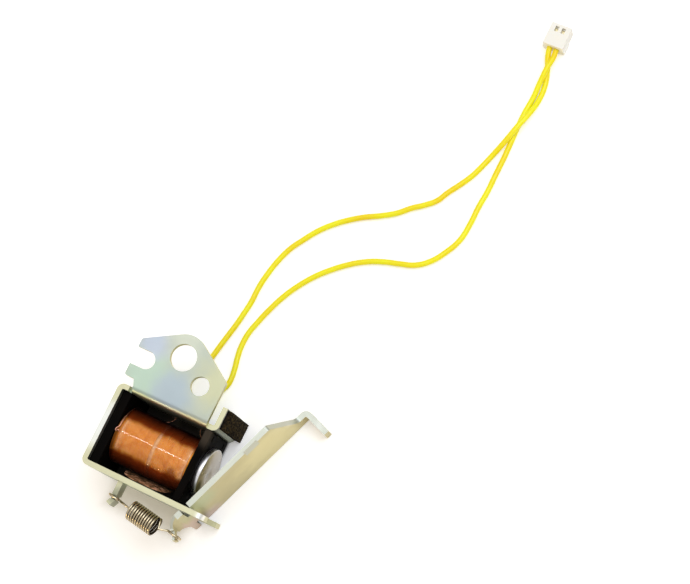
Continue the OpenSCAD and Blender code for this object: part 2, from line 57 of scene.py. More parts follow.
# Camera and studio: a long lens looks steeply down on the part, which lies on white paper.
# A soft cool lamp stands beyond the plate, and the room fills the shadows with warmer light.
# A small lamp overhead draws the thin highlights, and a golden one low on the spring's side lights
# the edges.
LENS = 101.22
CAMERA_AT = (0.13292, -0.03444, 0.37028)
CAMERA_TURN = (15.102, 10.809, 26.224)
PAPER_Z = -15
PAPER_HALF = 2
PAPER = (0.97, 0.97, 0.97, 1)
# The paper's painted shadow under the yoke's channel.
SHADE = (0.05, 0.045, 0.04, 1)
GLOW = (0.30, 0.30, 0.32, 1)
MIRRORED_GLOW = 0.4
ROOM = (0.66, 0.585, 0.47, 1)
HORIZON, ZENITH, ZENITH_FROM = 0.16, 0.76, 0.75
LAMPS_AIM = Vector((0.002, -0.012, -0.01))

lens = bpy.data.cameras.new("camera")
lens.lens = LENS
camera = bpy.data.objects.new("camera", lens)
camera.location = CAMERA_AT
camera.rotation_euler = [radians(angle) for angle in CAMERA_TURN]
scene.collection.objects.link(camera)
scene.camera = camera
scene.view_settings.view_transform = "Standard"


def add_node(tree, kind, inputs=None, **settings):
    """A node with its settings, and its inputs set to values or joined to other nodes' outputs."""
    made = tree.nodes.new(kind)
    for key, value in settings.items():
        setattr(made, key, value)
    for key, value in (inputs or {}).items():
        if isinstance(value, bpy.types.NodeSocket):
            tree.links.new(value, made.inputs[key])
        else:
            made.inputs[key].default_value = value
    return made


def calc(tree, operation, a, b=0.0, c=0.0):
    return add_node(tree, "ShaderNodeMath", {0: a, 1: b, 2: c}, operation=operation).outputs[0]


def vector_calc(tree, operation, a, b=None):
    """A step of vector arithmetic. The second input is a vector, or a number for SCALE."""
    inputs = {0: a}
    if b is not None:
        inputs["Scale" if operation == "SCALE" else 1] = b
    made = add_node(tree, "ShaderNodeVectorMath", inputs, operation=operation)
    return made.outputs["Value" if operation in ("DISTANCE", "LENGTH") else "Vector"]


def split(tree, vector):
    return add_node(tree, "ShaderNodeSeparateXYZ", {0: vector}).outputs


def map_range(tree, value, start, end, low=0.0, high=1.0, smooth=False):
    """A number that goes from low to high as a value goes from start to end."""
    inputs = {"Value": value, "From Min": start, "From Max": end, "To Min": low, "To Max": high}
    kind = "SMOOTHSTEP" if smooth else "LINEAR"
    return add_node(tree, "ShaderNodeMapRange", inputs, interpolation_type=kind).outputs[0]


def mix_colour(tree, factor, a, b):
    return add_node(tree, "ShaderNodeMix", {0: factor, 6: a, 7: b}, data_type="RGBA").outputs[2]


def shaded_spot(tree):
    """Where the shaded point lies in its piece, in metres."""
    return add_node(tree, "ShaderNodeTexCoord").outputs["Object"]


def ray_kinds(tree):
    """1 for rays from the eye, and 1 for rays from a mirror or through glass, each otherwise 0."""
    rays = add_node(tree, "ShaderNodeLightPath").outputs
    mirrored = calc(tree, "MAXIMUM", rays["Is Glossy Ray"], rays["Is Transmission Ray"])
    return rays["Is Camera Ray"], mirrored


world = bpy.data.worlds.new("studio")
world.use_nodes = True
scene.world = world
sky = world.node_tree
sky.nodes.clear()
rise = split(sky, add_node(sky, "ShaderNodeTexCoord").outputs["Generated"])["Z"]
overhead = map_range(sky, rise, 0.0, ZENITH_FROM, HORIZON, ZENITH, smooth=True)
eye, mirrored = ray_kinds(sky)
sky_colour = mix_colour(sky, calc(sky, "MAXIMUM", eye, mirrored), ROOM, overhead)
sky_light = add_node(sky, "ShaderNodeBackground", {"Color": sky_colour})
add_node(sky, "ShaderNodeOutputWorld", {"Surface": sky_light.outputs[0]})

paper = bpy.data.materials.new("white_paper")
paper.use_nodes = True
tree = paper.node_tree
tree.nodes.clear()
spot = shaded_spot(tree)


def outside_box(middle, half_x, half_y, blur):
    """0 on the paper inside a box about a place, and 1 outside it, with a blurred edge."""
    away = vector_calc(tree, "SUBTRACT", spot, Vector(middle) * MM)
    away = split(tree, vector_calc(tree, "ABSOLUTE", away))
    past_x = calc(tree, "SUBTRACT", away["X"], half_x * MM)
    past_y = calc(tree, "SUBTRACT", away["Y"], half_y * MM)
    past = calc(tree, "MAXIMUM", past_x, past_y)
    return map_range(tree, past, -blur * MM, blur * MM, smooth=True)


# Painted shadow on the paper: under the yoke's channel the paper is painted nearly black, and there
# and beside the spring its glow is left off so that its shade shows.
clear_of_yoke_shadow = outside_box((1.5, -18.8, PAPER_Z), half_x=10.5, half_y=8.6, blur=0.5)
clear_of_spring_shadow = outside_box((2.5, -28, PAPER_Z), half_x=9, half_y=5, blur=2)
paper_colour = mix_colour(tree, clear_of_yoke_shadow, SHADE, PAPER)
sheet = add_node(tree, "ShaderNodeBsdfDiffuse", {"Color": paper_colour})
eye, mirrored = ray_kinds(tree)
seen = calc(tree, "MAXIMUM", eye, calc(tree, "MULTIPLY", mirrored, MIRRORED_GLOW))
seen = calc(tree, "MULTIPLY", seen, calc(tree, "MULTIPLY", clear_of_yoke_shadow, clear_of_spring_shadow))
glow = add_node(tree, "ShaderNodeEmission", {"Color": GLOW, "Strength": seen})
lit = add_node(tree, "ShaderNodeAddShader", {0: sheet.outputs[0], 1: glow.outputs[0]})
add_node(tree, "ShaderNodeOutputMaterial", {"Surface": lit.outputs[0]})
floor_mesh = bpy.data.meshes.new("floor")
corners = ((-1, -1), (1, -1), (1, 1), (-1, 1))
corners = [(x * PAPER_HALF, y * PAPER_HALF, PAPER_Z * MM) for x, y in corners]
floor_mesh.from_pydata(corners, [], [(0, 1, 2, 3)])
floor_mesh.materials.append(paper)
floor = bpy.data.objects.new("floor", floor_mesh)
scene.collection.objects.link(floor)


def lamp(name, direction, distance, size, watts, colour):
    """An oblong lamp that hangs at a distance from the coil and points at it."""
    light = bpy.data.lights.new(name, "AREA")
    light.shape = "RECTANGLE"
    light.size, light.size_y = size
    light.energy = watts
    light.color = colour
    away = Vector(direction).normalized()
    hung = bpy.data.objects.new(name, light)
    hung.location = LAMPS_AIM + away * distance
    hung.rotation_euler = away.to_track_quat("Z", "Y").to_euler()
    scene.collection.objects.link(hung)


lamp("soft_lamp", (0.25, 0.38, 0.89), distance=0.7, size=(0.5, 0.5), watts=2.3,
     colour=(0.77, 0.87, 1.0))
lamp("small_lamp", (-0.330, 0.078, 0.94), distance=0.6, size=(0.026, 0.06), watts=0.11,
     colour=(1.0, 0.96, 0.9))
lamp("edge_lamp", (-0.33, -0.91, 0.25), distance=0.6, size=(0.06, 0.06), watts=0.5,
     colour=(1.0, 0.76, 0.40))


# Connector housing: a small two-way socket housing moulded in natural white nylon.
# Its cavities are open at the front, and a window over each lets the contact's lance catch.
NYLON = (0.90, 0.90, 0.87, 1)
NYLON_MOTTLE = (0.93, 0.925, 0.89, 1)
CLOUDS_PER_MM = 0.35
SPECKS_PER_MM = 9
GLOSS_SWING = 0.16
EASED_FROM = radians(28)


def fine_noise(tree, vector, per_mm, detail=3.0):
    """Noise about 0.5, with so many grains to the millimetre."""
    inputs = {"Vector": vector, "Scale": per_mm / MM, "Detail": detail, "Roughness": 0.55}
    return add_node(tree, "ShaderNodeTexNoise", inputs).outputs["Fac"]


def new_group(name, inputs, outputs):
    """A shader group with named sockets, what it is given and the sockets for its result."""
    group = bpy.data.node_groups.new(name, "ShaderNodeTree")
    kinds = {"colour": "NodeSocketColor", "value": "NodeSocketFloat", "vector": "NodeSocketVector"}
    for label, kind in inputs.items():
        group.interface.new_socket(label, in_out="INPUT", socket_type=kinds[kind])
    for label, kind in outputs.items():
        group.interface.new_socket(label, in_out="OUTPUT", socket_type=kinds[kind])
    given, result = group.nodes.new("NodeGroupInput"), group.nodes.new("NodeGroupOutput")
    return group, given.outputs, result.inputs


def use_group(tree, group, **inputs):
    return add_node(tree, "ShaderNodeGroup", inputs, node_tree=group).outputs


def feed(tree, sockets, **values):
    """Joins outputs to named input sockets, with spaces in their names written as underscores."""
    for key, value in values.items():
        tree.links.new(value, sockets[key.replace("_", " ")])


# Moulded grain is shared by the plastics: a faint mottle in the colour and a fine texture.
moulded_grain, given, result = new_group(
    "moulded_grain", {"Colour": "colour", "Mottle": "colour", "Roughness": "value"},
    {"Colour": "colour", "Roughness": "value", "Height": "value"})
tree = moulded_grain
spot = shaded_spot(tree)
cloud = fine_noise(tree, spot, CLOUDS_PER_MM)
uneven = calc(tree, "MULTIPLY_ADD", cloud, GLOSS_SWING, -GLOSS_SWING / 2)
feed(tree, result, Colour=mix_colour(tree, cloud, given["Colour"], given["Mottle"]),
     Roughness=calc(tree, "ADD", given["Roughness"], uneven),
     Height=fine_noise(tree, spot, SPECKS_PER_MM, 2))


def finish(name, **sockets):
    """A material with one principled shader, its node tree and the shader's inputs."""
    material = bpy.data.materials.new(name)
    material.use_nodes = True
    made = material.node_tree
    made.nodes.clear()
    named = {key.replace("_", " "): value for key, value in sockets.items()}
    shader = add_node(made, "ShaderNodeBsdfPrincipled", named)
    add_node(made, "ShaderNodeOutputMaterial", {"Surface": shader.outputs[0]})
    return material, made, shader.inputs


def bump(tree, height, depth_mm):
    inputs = {"Height": height, "Distance": depth_mm * MM}
    return add_node(tree, "ShaderNodeBump", inputs).outputs[0]


def moulding(name, colour, mottle, roughness, grain_mm, **sockets):
    """A moulded plastic with its grain."""
    material, tree, inputs = finish(name, **sockets)
    grain = use_group(tree, moulded_grain, Colour=colour, Mottle=mottle, Roughness=roughness)
    feed(tree, inputs, Base_Color=grain["Colour"], Roughness=grain["Roughness"],
         Normal=bump(tree, grain["Height"], grain_mm))
    return material


def evaluated(work):
    """The mesh that an object's modifiers make, and the object removed."""
    scene.collection.objects.link(work)
    work.update_tag()
    graph = bpy.context.evaluated_depsgraph_get()
    mesh = bpy.data.meshes.new_from_object(work.evaluated_get(graph))
    bpy.data.objects.remove(work)
    return mesh


def modified(mesh, kind, **settings):
    """The mesh that one modifier makes of another."""
    work = bpy.data.objects.new(mesh.name, mesh)
    modifier = work.modifiers.new(kind, kind)
    for key, value in settings.items():
        setattr(modifier, key, value)
    return evaluated(work)


def eased_mesh(node, edge_mm, segments=2):
    """A copy of a CAD node's mesh with its facets joined and its sharp edges eased."""
    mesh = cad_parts[node].data.copy()
    mesh.materials.clear()
    for label in ("custom_normal", "sharp_edge", "sharp_face"):
        if label in mesh.attributes:
            mesh.attributes.remove(mesh.attributes[label])
    shape = bmesh.new()
    shape.from_mesh(mesh)
    bmesh.ops.scale(shape, vec=(1 / MM,) * 3, verts=shape.verts)
    bmesh.ops.remove_doubles(shape, verts=shape.verts, dist=0.001)
    bmesh.ops.dissolve_limit(shape, angle_limit=radians(1), verts=shape.verts, edges=shape.edges)
    for face in shape.faces:
        face.smooth = True
    shape.to_mesh(mesh)
    shape.free()
    made = modified(mesh, "BEVEL", width=edge_mm, segments=segments, limit_method="ANGLE",
                    angle_limit=EASED_FROM, harden_normals=True)
    made.transform(Matrix.Scale(MM, 4))
    return made


def new_piece(name, mesh, node, body="yoke"):
    """Puts a finished mesh in the scene as the piece that stands for a CAD node."""
    mesh.name = name
    piece = bpy.data.objects.new(name, mesh)
    scene.collection.objects.link(piece)
    if body:
        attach(piece, body)
    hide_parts(node)
    return piece


def cad_piece(name, node, material, edge_mm, segments=2, is_cut=None, body="yoke"):
    """Draws a CAD node in its own shape with eased edges, and marks the faces that a press cut."""
    mesh = eased_mesh(node, edge_mm, segments)
    if is_cut:
        marks = mesh.attributes.new("cut_edge", "FLOAT", "FACE")
        for face, mark in zip(mesh.polygons, marks.data):
            mark.value = float(is_cut(face.center / MM, face.normal))
    mesh.materials.append(material)
    return new_piece(name, mesh, node, body)


nylon = moulding("white_nylon", NYLON, NYLON_MOTTLE, roughness=0.42, grain_mm=0.006,
                 Subsurface_Weight=0.08, Subsurface_Scale=1.0,
                 Subsurface_Radius=(0.6 * MM, 0.5 * MM, 0.4 * MM))
housing = cad_piece("connector_housing_moulding", "connector_housing", nylon,
                    edge_mm=0.12)


# Crimp contacts: plated brass strip, folded into a box and crimped on the bared strands.
# Rolled grain is shared by the metals: fine streaks along one axis and a slow change of gloss.
BRASS = (0.80, 0.68, 0.40, 1)
DULL_BRASS = (0.66, 0.55, 0.33, 1)
STREAKS_PER_MM = 6
PATCHES_PER_MM = 0.25
STREAK_SHARE = 0.4
DULL_PER_MM = 0.4
rolled_grain, given, result = new_group(
    "rolled_grain", {"Stretch": "vector", "Roughness": "value", "Spread": "value"},
    {"Roughness": "value", "Height": "value"})
tree = rolled_grain
spot = shaded_spot(tree)
stretched = vector_calc(tree, "MULTIPLY", spot, given["Stretch"])
streak = fine_noise(tree, stretched, STREAKS_PER_MM, 4)
patch = fine_noise(tree, spot, PATCHES_PER_MM)
drift = calc(tree, "ADD", calc(tree, "MULTIPLY", streak, STREAK_SHARE),
             calc(tree, "MULTIPLY", patch, 1 - STREAK_SHARE))
drift = calc(tree, "MULTIPLY", calc(tree, "SUBTRACT", drift, 0.5), given["Spread"])
feed(tree, result, Roughness=calc(tree, "ADD", given["Roughness"], drift), Height=streak)


def bright_metal(name, colour, dull, roughness, depth_mm, stretch=(1, 1, 1)):
    """A metal with rolled grain, whose colour goes a little dull in patches."""
    material, tree, inputs = finish(name, Metallic=1.0)
    grain = use_group(tree, rolled_grain, Stretch=stretch, Roughness=roughness, Spread=0.25)
    patchy = fine_noise(tree, shaded_spot(tree), DULL_PER_MM)
    feed(tree, inputs, Base_Color=mix_colour(tree, patchy, colour, dull),
         Roughness=grain["Roughness"], Normal=bump(tree, grain["Height"], depth_mm))
    return material


brass = bright_metal("plated_brass", BRASS, DULL_BRASS, roughness=0.3, depth_mm=0.004,
                     stretch=(1, 0.1, 1))
contacts = [cad_piece(f"folded_contact_{number}", f"crimp_contact_{number}",
                      brass, edge_mm=0.04, segments=1) for number in (1, 2)]


# Conductors: each lead's bared ends are seven tinned strands with a slow twist.
# One end lies in its solder joint under the plate, and the other in its contact's barrel.
TINNED = (0.80, 0.70, 0.58, 1)
BARE_COPPER = (0.72, 0.50, 0.34, 1)
STRAND_D = 0.2
STRAND_LAY = 6
BARE_LEN = 1.2
SPLICES = ((-0.8, -8, -14.35), (5.5, -8, -14.35))
WAYS = ((37.55, 94.4, -13.25), (39.05, 94.4, -13.25))


def new_tree(name, *sizes):
    """An empty geometry tree with named size inputs, and its input node's outputs."""
    tree = bpy.data.node_groups.new(name, "GeometryNodeTree")
    tree.interface.new_socket("Geometry", in_out="INPUT", socket_type="NodeSocketGeometry")
    tree.interface.new_socket("Geometry", in_out="OUTPUT", socket_type="NodeSocketGeometry")
    for label in sizes:
        tree.interface.new_socket(label, in_out="INPUT", socket_type="NodeSocketFloat")
    return tree, tree.nodes.new("NodeGroupInput").outputs


def close_tree(tree, geometry, material):
    """Ends a tree with real, smooth geometry in its material."""
    solid = add_node(tree, "GeometryNodeRealizeInstances", {"Geometry": geometry})
    smooth = add_node(tree, "GeometryNodeSetShadeSmooth", {"Geometry": solid.outputs[0]})
    inputs = {"Geometry": smooth.outputs[0], "Material": material}
    dressed = add_node(tree, "GeometryNodeSetMaterial", inputs)
    add_node(tree, "NodeGroupOutput", {"Geometry": dressed.outputs[0]})


def grow(tree, base=None, **sizes):
    """The mesh that a tree makes from a base mesh or curve and its sizes."""
    work = bpy.data.objects.new(tree.name, base or bpy.data.meshes.new(tree.name))
    grown = work.modifiers.new(tree.name, "NODES")
    grown.node_group = tree
    for item in tree.interface.items_tree:
        if item.in_out == "INPUT" and item.name in sizes:
            grown[item.identifier] = sizes[item.name]
    return evaluated(work)


def swept(tree, curve, diameter, sides):
    """A round wire along a curve, with closed ends."""
    radius = calc(tree, "MULTIPLY", diameter, 0.5)
    inputs = {"Resolution": sides, "Radius": radius}
    ring = add_node(tree, "GeometryNodeCurvePrimitiveCircle", inputs).outputs[0]
    inputs = {"Curve": curve, "Profile Curve": ring, "Fill Caps": True}
    return add_node(tree, "GeometryNodeCurveToMesh", inputs).outputs[0]


def moved(tree, geometry, **change):
    """Geometry with its points put at a new Position, or pushed by an Offset."""
    return add_node(tree, "GeometryNodeSetPosition", {"Geometry": geometry, **change}).outputs[0]


tinned = bright_metal("tinned_strands", TINNED, BARE_COPPER, roughness=0.3, depth_mm=0.003,
                      stretch=(1, 1, 0.2))
strand_tree, sizes = new_tree("twisted_strands", "Length", "Strand", "Lay")
tree = strand_tree
top = add_node(tree, "ShaderNodeCombineXYZ", {"Z": sizes["Length"]}).outputs[0]
line = add_node(tree, "GeometryNodeCurvePrimitiveLine", {"End": top})
line = add_node(tree, "GeometryNodeResampleCurve", {"Curve": line.outputs[0], "Count": 10})
ring = add_node(tree, "GeometryNodeMeshCircle", {"Vertices": 6, "Radius": sizes["Strand"]})
centre = add_node(tree, "GeometryNodeMeshLine", {"Count": 1})
places = add_node(tree, "GeometryNodeJoinGeometry")
for made in (ring, centre):
    tree.links.new(made.outputs[0], places.inputs[0])
inputs = {"Points": places.outputs[0], "Instance": line.outputs[0]}
bundle = add_node(tree, "GeometryNodeInstanceOnPoints", inputs)
bundle = add_node(tree, "GeometryNodeRealizeInstances", {"Geometry": bundle.outputs[0]})
here = add_node(tree, "GeometryNodeInputPosition").outputs[0]
turn = calc(tree, "MULTIPLY", split(tree, here)["Z"], calc(tree, "DIVIDE", tau, sizes["Lay"]))
inputs = {"Vector": here, "Angle": turn}
twisted = add_node(tree, "ShaderNodeVectorRotate", inputs, rotation_type="Z_AXIS")
bundle = moved(tree, bundle.outputs[0], Position=twisted.outputs[0])
close_tree(tree, swept(tree, bundle, sizes["Strand"], sides=8), tinned)


def closed(shape, name, material=None):
    """The mesh that a bmesh holds, in its material, and the bmesh freed."""
    made = bpy.data.meshes.new(name)
    shape.to_mesh(made)
    shape.free()
    if material:
        made.materials.append(material)
    return made


def joined(*meshes):
    """Several meshes of one material in one mesh, and the others removed."""
    shape = bmesh.new()
    for mesh in meshes:
        shape.from_mesh(mesh)
    made = closed(shape, meshes[0].name, meshes[0].materials[0])
    for mesh in meshes:
        bpy.data.meshes.remove(mesh)
    return made


strands = []
for number, splice, way in zip((1, 2), SPLICES, WAYS):
    at_coil = grow(strand_tree, Length=BARE_LEN * MM, Strand=STRAND_D * MM, Lay=STRAND_LAY * MM)
    at_plug = at_coil.copy()
    at_coil.transform(Matrix.Translation(Vector(splice) * MM) @ Matrix.Rotation(pi / 2, 4, "X"))
    at_plug.transform(Matrix.Translation(Vector(way) * MM) @ Matrix.Rotation(-pi / 2, 4, "X"))
    strands.append(new_piece(f"bared_strands_{number}", joined(at_coil, at_plug),
                             f"lead_conductor_{number}"))


# Leads: two hook-up wires, 1.2 mm over smooth yellow insulation, from their splices under the plate
# out across the paper, crossing once before the connector. Where a point of a run has a third
# number, the wire is lifted that far off the paper there.
YELLOW = (0.95, 0.92, 0.004, 1)
DEEP_YELLOW = (0.93, 0.72, 0.002, 1)
LEAD_D = 1.2
LIE_Z = -14.31
STRAIGHT_IN = 1.4
RUNS = (
    ((-0.8, -7.2), (-1, -6.2), (-1.4, -5), (-1.7, -3.7), (-1.6, -2.2), (-1.1, -0.3), (-0.2, 1.8),
     (0.45, 3.8), (0.9, 6.2), (1.4, 8.8), (2.05, 12), (2.5, 15), (2.85, 18), (2.9, 21.5), (3.35, 25),
     (4.1, 28.3), (5.4, 31.8), (7.1, 34.6), (9, 37.4), (11.6, 40.2), (14.3, 42.4), (17, 44.2),
     (20, 45.8), (23, 47.7), (25.4, 49.9), (27.8, 51.7), (29.7, 53.5), (31, 55.9), (32.7, 58.6),
     (34.2, 61.3), (35.3, 64.2), (36.15, 66.8), (37.4, 70, 0.9), (38.75, 74.5, 1.45),
     (39.65, 78, 0.95), (40.1, 82), (39.9, 85.5), (38.8, 89), (37.85, 91.5, 0.75)),
    ((5.5, -6.5), (5.4, -4.4), (5.45, -2.6), (5.85, -1.2), (6.35, 0.1), (6.4, 1.8), (6.1, 3.8),
     (5.55, 6.2), (5.25, 8.5), (5.35, 11.5), (6.15, 14.7), (7.2, 18), (8.8, 21.9), (10.6, 25.1),
     (13, 28.4), (15.6, 31.1), (18.3, 33.4), (21.5, 35.5), (25, 37), (28.5, 38), (31.5, 39),
     (34.1, 41), (36.2, 44), (37.8, 47.5), (38.3, 51.5), (38.35, 55.5), (38.65, 59.5),
     (38.65, 63.5), (38.7, 67.5), (38.6, 71), (38.5, 74.5), (38.5, 78), (38.8, 82, 0.15),
     (38.85, 85.5, 0.85), (39, 88.5, 1.45), (39.2, 91.5, 1.15)))
LEAD_LENGTHS = (0.1168, 0.1171)

insulation, tree, inputs = finish("yellow_insulation", Subsurface_Weight=0.15, Subsurface_Scale=1.0,
                                  Subsurface_Radius=(0.5 * MM, 0.3 * MM, 0.05 * MM))
spot = shaded_spot(tree)
deeper = map_range(tree, fine_noise(tree, spot, 0.14, 4), 0.40, 0.70)
rub = fine_noise(tree, spot, 1.2, 4)
feed(tree, inputs, Base_Color=mix_colour(tree, deeper, YELLOW, DEEP_YELLOW),
     Roughness=map_range(tree, rub, 0.3, 0.7, 0.28, 0.46), Normal=bump(tree, rub, 0.02))


def path_curve(name, points, steps=0):
    """A curve through points in millimetres, rounded in so many steps between them, or straight."""
    made = bpy.data.curves.new(name, "CURVE")
    made.dimensions = "3D"
    if steps:
        spline = made.splines.new("BEZIER")
        spline.resolution_u = steps
        spline.bezier_points.add(len(points) - 1)
        for knot, point in zip(spline.bezier_points, points):
            knot.co = Vector(point) * MM
            knot.handle_left_type = knot.handle_right_type = "AUTO"
    else:
        spline = made.splines.new("POLY")
        spline.points.add(len(points) - 1)
        for knot, point in zip(spline.points, points):
            knot.co = (*(Vector(point) * MM), 1)
    return made


carried = ((housing, contacts[0], strands[0]), (contacts[1], strands[1]))
leads = zip((1, 2), SPLICES, WAYS, RUNS, LEAD_LENGTHS, carried)
for number, splice, way, run, length, rest in leads:
    points = [splice] + [(x, y, LIE_Z + sum(lift)) for x, y, *lift in run]
    points += [(way[0], way[1] - STRAIGHT_IN, way[2]), way]
    route = path_curve(f"lead_{number}", points, steps=8)
    route.bevel_depth = LEAD_D / 2 * MM
    route.bevel_resolution = 5
    route.use_fill_caps = True
    route.materials.append(insulation)
    lead = new_piece(f"lead_{number}", route, f"lead_wire_{number}")


# Yoke: one stamping of 1.1 mm sheet, bent into a channel with a mounting plate, a tab for the pad
# and a lug for the spring. Its zinc plating is passivated, with tints of green, blue and straw.
ZINC = (0.46, 0.50, 0.41, 1)
ZINC_DRIFT = (0.50, 0.53, 0.45, 1)
CUT_EDGE = (0.68, 0.65, 0.43, 1)
BLOOMS = (((0.47, 0.585, 0.475, 1), (-5.5, -6.5, 0), 7),
          ((0.49, 0.54, 0.61, 1), (-7.3, 1, 0), 5),
          ((0.41, 0.475, 0.505, 1), (1.5, -7.5, 0), 6),
          ((0.555, 0.557, 0.37, 1), (9.5, -2, 0), 7),
          ((0.58, 0.605, 0.50, 1), (-1.5, 4.5, 0), 5.5))
# Painted light and shade on the yoke, each a tint, its centre and reach: painted shade on the lug, a
# painted glint then painted shade at the prong's nose, and a painted highlight along the back wall's
# top.
YOKE_PAINTED_LIGHT_AND_SHADE = (((0.30, 0.30, 0.21, 1), (-0.5, -31, -2.6), 3),
        ((0.98, 0.97, 0.92, 1), (18.5, -27.3, -0.6), 1.8),
        ((0.20, 0.21, 0.19, 1), (20.5, -27.3, -0.6), 1),
        ((0.85, 0.85, 0.78, 1), (-9.4, -19, 0), 7))
PLATE_UNDER_Z = -1.5
PLATE_FROM_Y = -10.8
BEND_TO_Y = -9.4
PLATE_TO_X = 10.8
PRONG_FROM_X = 13.2
TAB_END_FROM_Y = -6
WANDER, WANDERS_PER_MM = 0.8, 0.25
FULL_WITHIN, NONE_BEYOND = 0.3, 1.15

# Bloom patch is shared by the plated metals: a soft patch of tint with an edge that wanders.
bloom_patch, given, result = new_group(
    "bloom_patch", {"Colour": "colour", "Tint": "colour", "Centre": "vector", "Reach": "value"},
    {"Colour": "colour"})
tree = bloom_patch
spot = shaded_spot(tree)
off = calc(tree, "DIVIDE", vector_calc(tree, "DISTANCE", spot, given["Centre"]), given["Reach"])
wander = calc(tree, "SUBTRACT", fine_noise(tree, spot, WANDERS_PER_MM), 0.5)
off = calc(tree, "ADD", off, calc(tree, "MULTIPLY", wander, WANDER))
cover = map_range(tree, off, FULL_WITHIN, NONE_BEYOND, 1.0, 0.0, smooth=True)
feed(tree, result, Colour=mix_colour(tree, cover, given["Colour"], given["Tint"]))


def bloomed(tree, colour, patches):
    """A colour with patches of tint over it, each with its centre and reach in millimetres."""
    for tint, centre, reach in patches:
        colour = use_group(tree, bloom_patch, Colour=colour, Tint=tint, Centre=Vector(centre) * MM,
                           Reach=reach * MM)["Colour"]
    return colour


def plated_sheet(name, base, drift, blooms, edge, painted_light_and_shade, stretch, roughness):
    """Plated sheet steel, with blooms of tint, rolled grain, bare cut edges and patches of painted
    light and shade.
    """
    material, tree, inputs = finish(name, Metallic=1.0)
    plating = mix_colour(tree, fine_noise(tree, shaded_spot(tree), 0.5, 4), base, drift)
    cut = add_node(tree, "ShaderNodeAttribute", attribute_name="cut_edge").outputs["Fac"]
    colour = mix_colour(tree, cut, bloomed(tree, plating, blooms), edge)
    grain = use_group(tree, rolled_grain, Stretch=stretch, Roughness=roughness, Spread=0.22)
    feed(tree, inputs, Base_Color=bloomed(tree, colour, painted_light_and_shade),
         Roughness=calc(tree, "MULTIPLY_ADD", cut, 0.08, grain["Roughness"]),
         Normal=bump(tree, grain["Height"], 0.006))
    return material


def yoke_cut(at, normal):
    """True on the plate's outline but not its bend, and on the rims and free ends of the rest."""
    if at.z > PLATE_UNDER_Z and at.y > PLATE_FROM_Y and at.x < PLATE_TO_X:
        return abs(normal.z) < 0.5 and (at.y > BEND_TO_Y or abs(normal.x) > 0.5)
    free_end = normal.x > 0.5 and at.x > PRONG_FROM_X or normal.y > 0.5 and at.y > TAB_END_FROM_Y
    return abs(normal.z) > 0.5 or free_end


zinc = plated_sheet("passivated_zinc", ZINC, ZINC_DRIFT, BLOOMS, CUT_EDGE, YOKE_PAINTED_LIGHT_AND_SHADE,
                    stretch=(0.08, 1, 1), roughness=0.42)
cad_piece("yoke_stamping", "yoke_frame", zinc, edge_mm=0.1, is_cut=yoke_cut)


# Core: a turned steel pin with a broad pole head, pushed through the bobbin and riveted over behind
# the yoke. Its face shows fine rings from the lathe and a small centre mark.
REAR = Vector((-8.8, -18.8, -7.5))
POLE_STEEL = (0.96, 0.90, 0.84, 1)
POLE_STAIN = (0.86, 0.80, 0.74, 1)
POLE_RIM = (0.92, 0.90, 0.92, 1)
RIM_FROM, RIM_TO = 5.1, 5.3
RINGS_PER_MM = 7
POLE_SHADE = (((0.22, 0.21, 0.12, 1), (13.45, -22.5, -4.8), 2.2),)
CORE_OUTLINE = ((-1.5, 0), (-1.5, 2.28), (-1.45, 2.38), (-1.32, 2.36), (-1.1, 2.0), (0, 2.0),
                (0, 3.0), (21, 3.0), (21, 5.28), (21.12, 5.4), (22.1, 5.4), (22.2, 5.36),
                (22.25, 5.25), (22.25, 0.35), (22.15, 0))


def lathe(outline, sides, material):
    """A closed shape turned about the X axis from (along, radius) points in millimetres."""
    shape = bmesh.new()
    rings = []
    for along, radius in outline:
        if rings and (along, radius) == outline[0]:
            rings.append(rings[0])
        elif radius == 0:
            rings.append([shape.verts.new((along * MM, 0, 0))])
        else:
            rings.append([shape.verts.new((along * MM, radius * cos(a) * MM, radius * sin(a) * MM))
                          for a in (tau * k / sides for k in range(sides))])
    for near, far in zip(rings, rings[1:]):
        for k in range(sides):
            corners = [near[k % len(near)], near[(k + 1) % len(near)],
                       far[(k + 1) % len(far)], far[k % len(far)]]
            corners = list(dict.fromkeys(corners))
            if len(corners) > 2:
                shape.faces.new(corners).smooth = True
    bmesh.ops.recalc_face_normals(shape, faces=shape.faces)
    made = closed(shape, "lathe", material)
    made.set_sharp_from_angle(angle=radians(50))
    return made


def onto_coil(mesh):
    """Moves a mesh made about the X axis to the coil's own place."""
    mesh.transform(Matrix.Translation(REAR * MM))
    return mesh


core_steel, tree, inputs = finish("turned_steel", Metallic=1.0)
spot = shaded_spot(tree)
about_axis = {"Vector": spot, "Location": (0, -REAR.y * MM, -REAR.z * MM)}
off_axis = add_node(tree, "ShaderNodeMapping", about_axis).outputs[0]
off_axis = vector_calc(tree, "LENGTH", vector_calc(tree, "MULTIPLY", off_axis, (0, 1, 1)))
ringed = {"W": off_axis, "Scale": RINGS_PER_MM / MM, "Detail": 3.0}
tool_marks = add_node(tree, "ShaderNodeTexNoise", ringed, noise_dimensions="1D").outputs["Fac"]
stain = fine_noise(tree, spot, 0.5)
rim = map_range(tree, off_axis, RIM_FROM * MM, RIM_TO * MM)
pole_face = bloomed(tree, mix_colour(tree, stain, POLE_STEEL, POLE_STAIN), POLE_SHADE)
feed(tree, inputs, Base_Color=mix_colour(tree, rim, pole_face, POLE_RIM),
     Roughness=map_range(tree, stain, 0.3, 0.7, 0.24, 0.38), Normal=bump(tree, tool_marks, 0.008))
new_piece("core_pin", onto_coil(lathe(CORE_OUTLINE, 128, core_steel)), "core")


